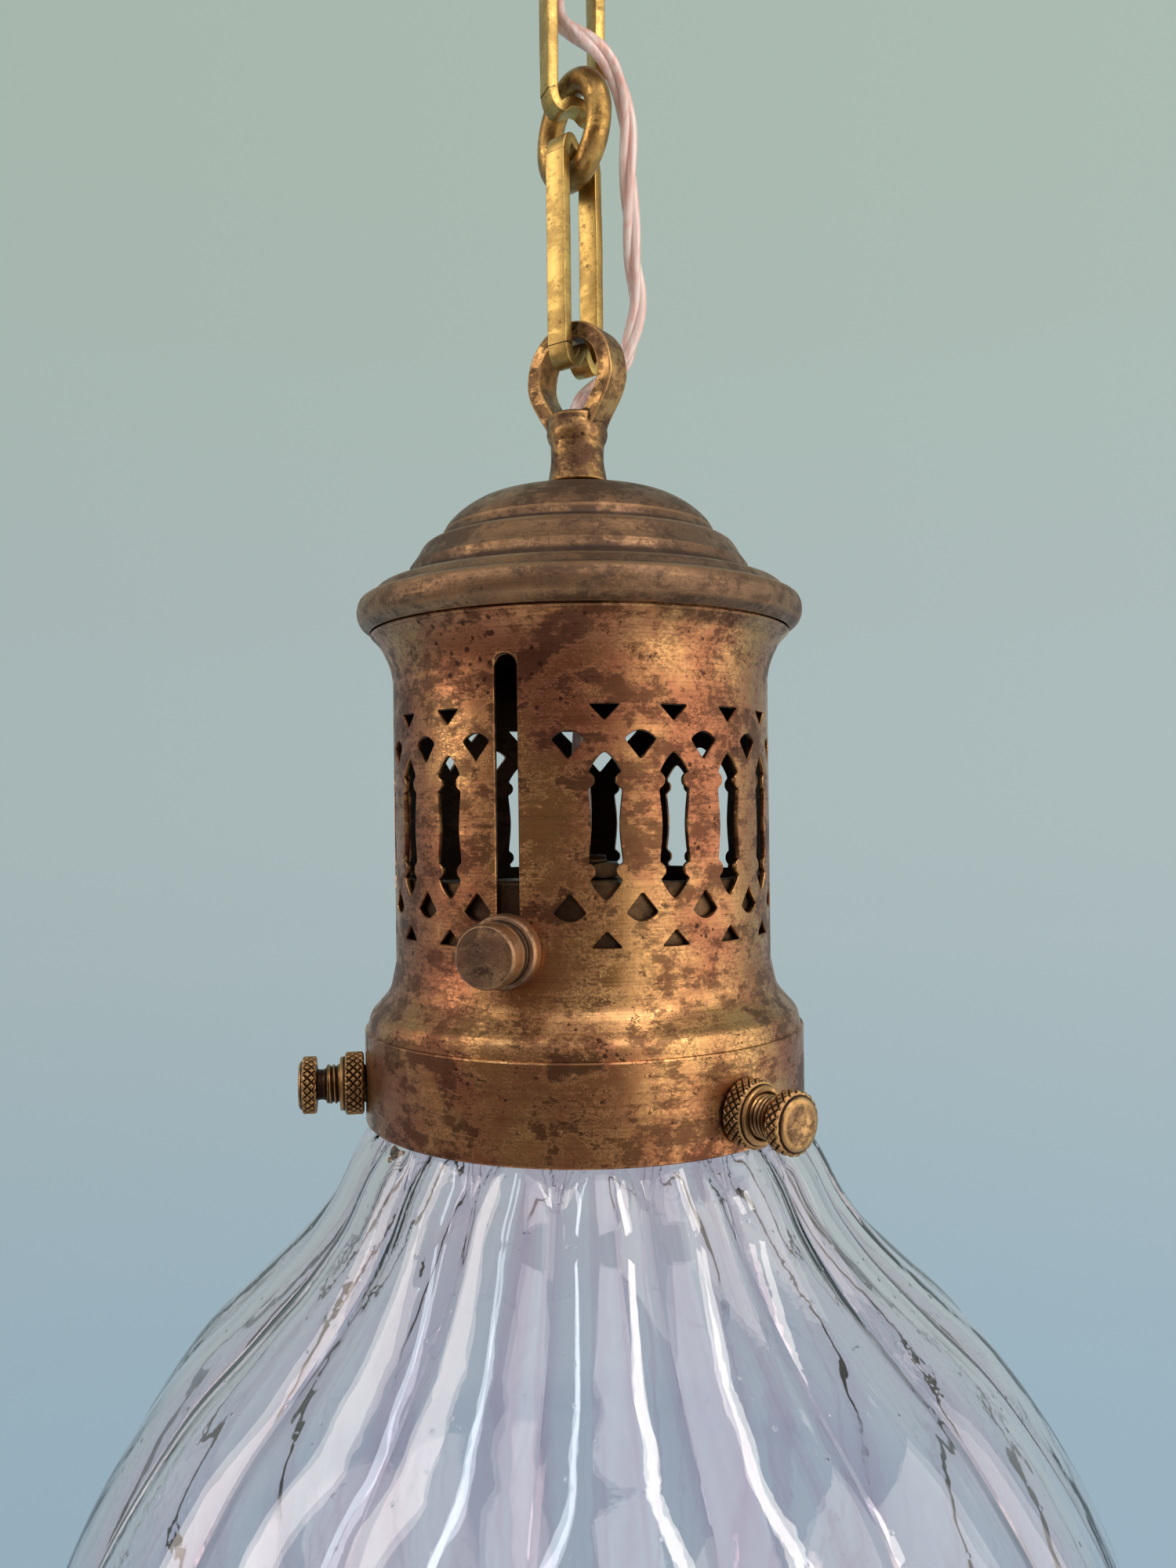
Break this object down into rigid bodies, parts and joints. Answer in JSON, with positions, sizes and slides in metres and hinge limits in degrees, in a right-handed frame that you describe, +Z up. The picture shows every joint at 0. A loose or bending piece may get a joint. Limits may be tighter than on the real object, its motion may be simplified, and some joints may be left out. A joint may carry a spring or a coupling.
{
  "type": "pendant light",
  "caption": "Ribbed clear glass shade held by thumb screws in a pierced brass gallery, hung by a cap, eye, chain of long links and ring from a ceiling plate.",
  "frame": {"origin": "centre of the ceiling plate's back face, where it meets the ceiling", "axes": "+Z up into the ceiling, the lamp hangs down along -Z; -Y is the side of the slot and its clamp knob"},
  "size_m": [0.2114, 0.212, 0.4577],
  "materials": {
    "aged_brass": "aged, brown patina with dark specks and worn bright edges",
    "link_brass": "bright yellow brass, lightly tarnished",
    "inner_brass": "dull brass",
    "washer_steel": "dull steel",
    "porcelain": "glazed white",
    "shade_glass": "clear pressed glass with a faint violet tint",
    "flex": "clear sheath over tinned and copper cores"
  },
  "bodies": {
    "ceiling": {"ceiling_plate": "aged_brass", "plate_screw_1": "aged_brass", "plate_screw_2": "aged_brass", "ceiling_hook": "aged_brass", "supply_cord_4": "flex"},
    "upper_link": {"upper_link": "link_brass", "supply_cord_3": "flex"},
    "ring": {"chain_ring": "aged_brass"},
    "lower_link": {"lower_link": "link_brass", "supply_cord_2": "flex"},
    "pendant": {"hanging_loop": "aged_brass", "loop_washer": "washer_steel", "loop_nut": "inner_brass", "cap": "aged_brass", "gallery": "aged_brass", "glass_shade": "shade_glass", "supply_cord_1": "flex", "inner_flex": "flex"},
    "lamp_carrier": {"carrier_sleeve": "inner_brass", "carrier_spider": "inner_brass", "clamp_nut": "inner_brass", "holder_nipple": "inner_brass", "nipple_nut": "inner_brass", "holder_dome": "inner_brass", "holder_shell": "inner_brass", "porcelain_insert": "porcelain", "lamp_shell": "link_brass", "centre_contact": "link_brass"},
    "knob": {"clamp_knob": "aged_brass"},
    "screw_1": {"thumb_screw_1": "aged_brass"},
    "screw_2": {"thumb_screw_2": "aged_brass"},
    "screw_3": {"thumb_screw_3": "aged_brass"},
    "nut_1": {"lock_nut_1": "aged_brass"},
    "nut_2": {"lock_nut_2": "aged_brass"},
    "nut_3": {"lock_nut_3": "aged_brass"}
  },
  "joints": [
    {"name": "upper_link_swing", "type": "hinge", "parent": "ceiling", "child": "upper_link", "pos_m": [0, 0, -0.03565], "axis": [-0.7133, 0.7009, 0], "range_deg": [-20, 20], "deforming": ["supply_cord_4"]},
    {"name": "ring_swing", "type": "hinge", "parent": "upper_link", "child": "ring", "pos_m": [0, 0, -0.07609], "axis": [0.5948, 0.8039, 0], "range_deg": [-20, 20], "deforming": ["supply_cord_3"]},
    {"name": "lower_link_swing", "type": "hinge", "parent": "ring", "child": "lower_link", "pos_m": [0, 0, -0.08534], "axis": [0.8039, -0.5948, 0], "range_deg": [-20, 20], "deforming": ["supply_cord_2"]},
    {"name": "pendant_swing", "type": "hinge", "parent": "lower_link", "child": "pendant", "pos_m": [0, 0, -0.1175], "axis": [0.9537, -0.3007, 0], "range_deg": [-20, 20], "deforming": ["supply_cord_1"]},
    {"name": "carrier_slide", "type": "slide", "parent": "pendant", "child": "lamp_carrier", "axis": [0, 0, 1], "range_m": [0, 0.0445], "deforming": ["inner_flex"]},
    {"name": "clamp_knob_turn", "type": "hinge", "parent": "lamp_carrier", "child": "knob", "pos_m": [0, -0.04, -0.23931], "axis": [0, -1, 0], "continuous": true},
    {"name": "thumb_screw_1_draw", "type": "slide", "parent": "pendant", "child": "screw_1", "axis": [0.866, -0.5, 0], "range_m": [0, 0.005]},
    {"name": "thumb_screw_2_draw", "type": "slide", "parent": "pendant", "child": "screw_2", "axis": [0, 1, 0], "range_m": [0, 0.005]},
    {"name": "thumb_screw_3_draw", "type": "slide", "parent": "pendant", "child": "screw_3", "axis": [-0.866, -0.5, 0], "range_m": [0, 0.005]},
    {"name": "lock_nut_1_turn", "type": "hinge", "parent": "pendant", "child": "nut_1", "pos_m": [0.03897, -0.0225, -0.26821], "axis": [0.866, -0.5, 0], "continuous": true},
    {"name": "lock_nut_2_turn", "type": "hinge", "parent": "pendant", "child": "nut_2", "pos_m": [0, 0.045, -0.26821], "axis": [0, 1, 0], "continuous": true},
    {"name": "lock_nut_3_turn", "type": "hinge", "parent": "pendant", "child": "nut_3", "pos_m": [-0.03897, -0.0225, -0.26821], "axis": [-0.866, -0.5, 0], "continuous": true}
  ]
}
